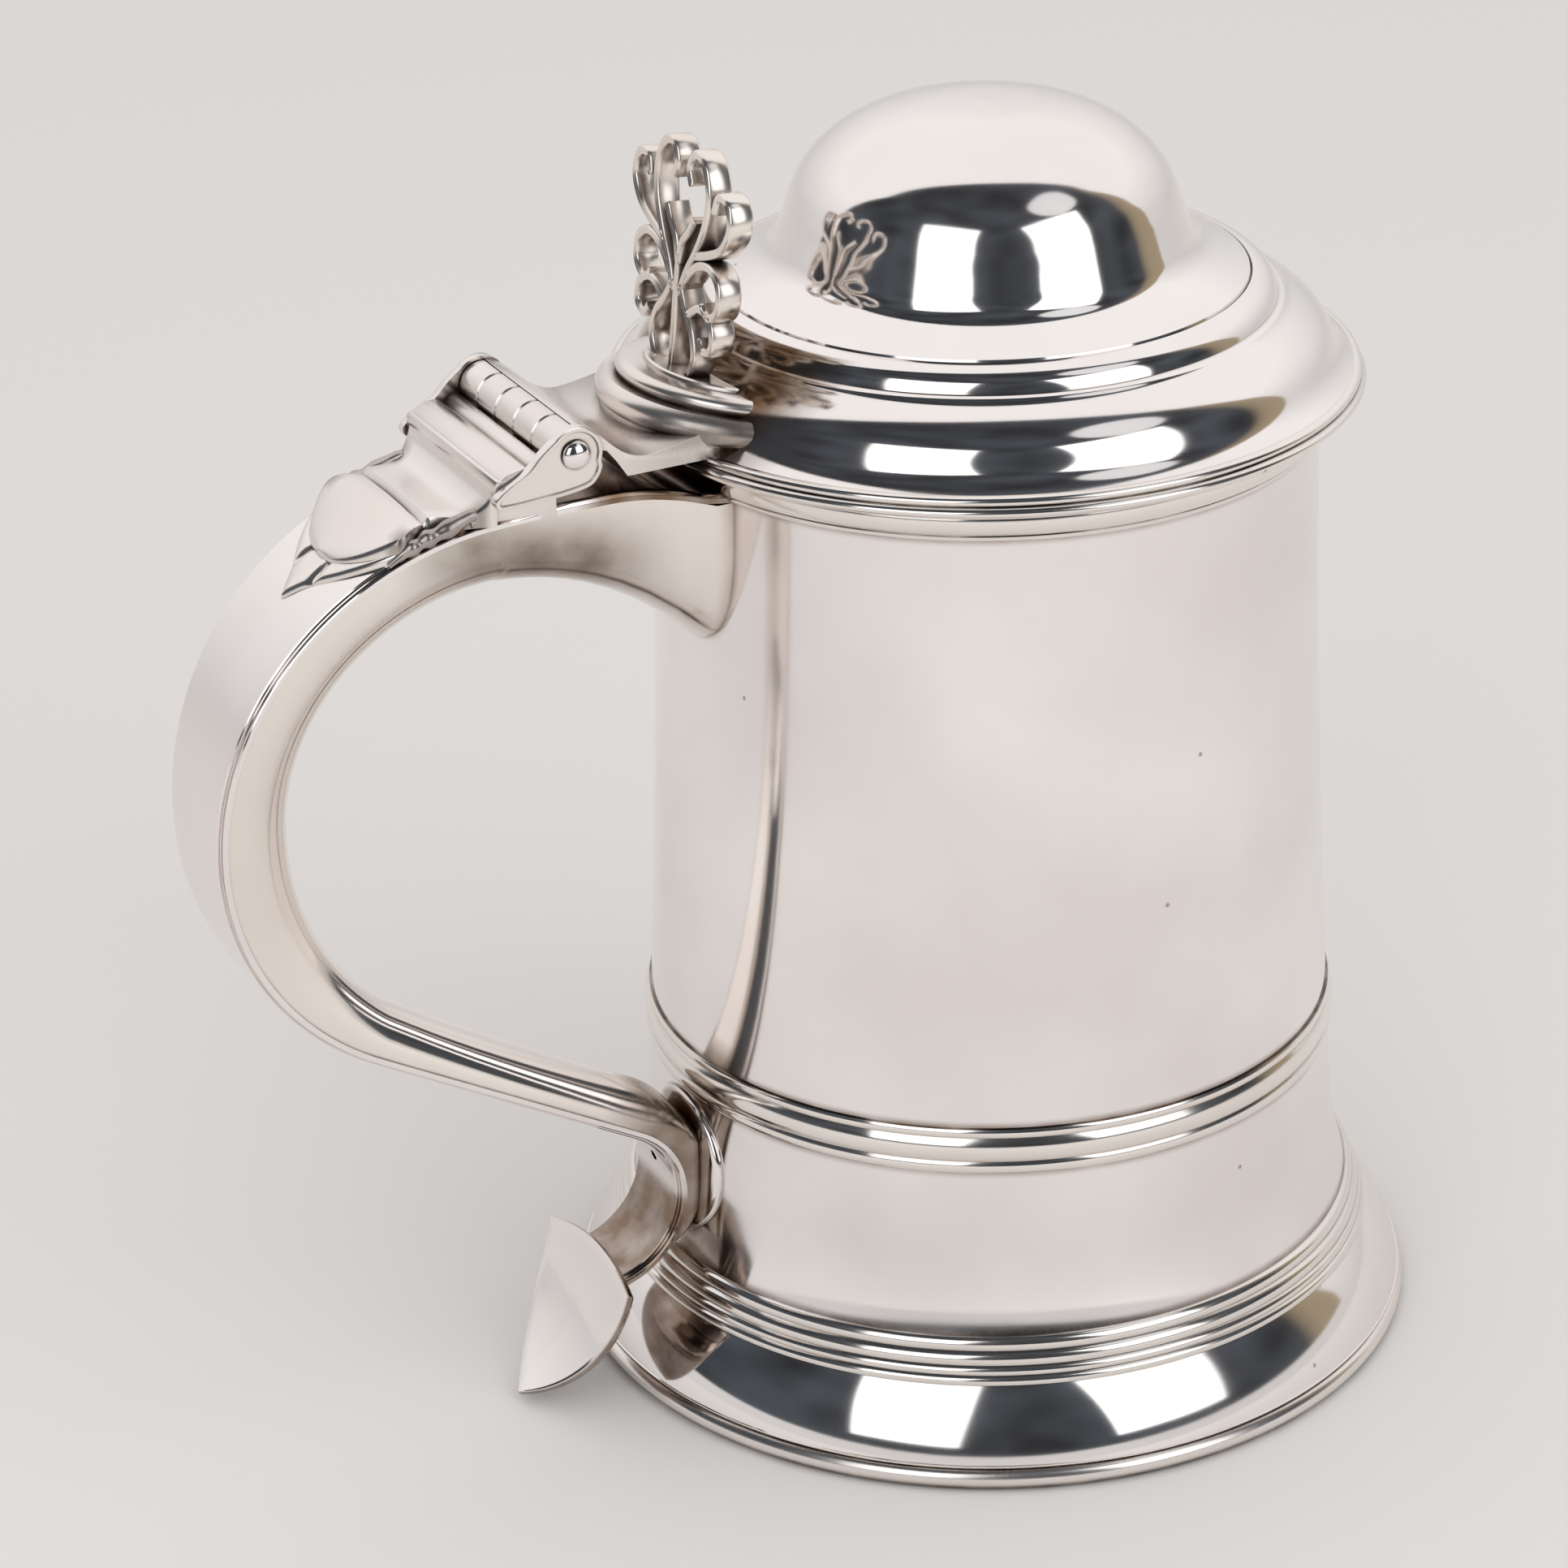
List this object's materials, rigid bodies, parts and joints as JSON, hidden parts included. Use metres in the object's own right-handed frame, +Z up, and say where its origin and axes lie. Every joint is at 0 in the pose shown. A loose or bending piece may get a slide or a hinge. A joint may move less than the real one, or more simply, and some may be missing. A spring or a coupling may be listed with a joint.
{
  "type": "lidded tankard",
  "caption": "Tapering silver drinking vessel on a spreading foot, with a hollow scroll handle and a hinged domed lid raised by a pierced thumbpiece.",
  "frame": {"origin": "centre of the plane on which the foot rests, on the drum's axis", "axes": "+Z up the drum's axis, the handle points along -X, the hinge pin lies along Y"},
  "size_m": [0.1877, 0.1274, 0.1909],
  "materials": {
    "polished_silver": "hand-polished sterling sheet with fine wear marks",
    "moulded_silver": "drawn reeded sterling wire, darker in the grooves",
    "cast_silver": "cast sterling with warm tarnish in the hollows"
  },
  "bodies": {
    "tankard": {"body_barrel": "polished_silver", "body_bottom": "polished_silver", "rim_moulding": "moulded_silver", "girdle_band": "moulded_silver", "foot_collar": "moulded_silver", "foot_skirt": "polished_silver", "foot_rim_wire": "moulded_silver", "handle_shell": "polished_silver", "handle_strap": "polished_silver", "handle_terminal": "polished_silver", "lower_mount_plate": "cast_silver", "hinge_plate": "cast_silver", "hinge_cheeks": "cast_silver", "handle_drop": "cast_silver", "hinge_pin": "cast_silver", "pin_heads": "cast_silver"},
    "lid": {"lid_cover": "polished_silver", "lid_rim": "moulded_silver", "lid_bezel": "polished_silver", "lid_leaf": "cast_silver", "thumb_plinth": "cast_silver", "thumbpiece": "cast_silver"}
  },
  "joints": [
    {"name": "lid_hinge", "type": "hinge", "parent": "tankard", "child": "lid", "pos_m": [-0.0717, 0, 0.1559], "axis": [0, -1, 0], "range_deg": [0, 112]}
  ]
}
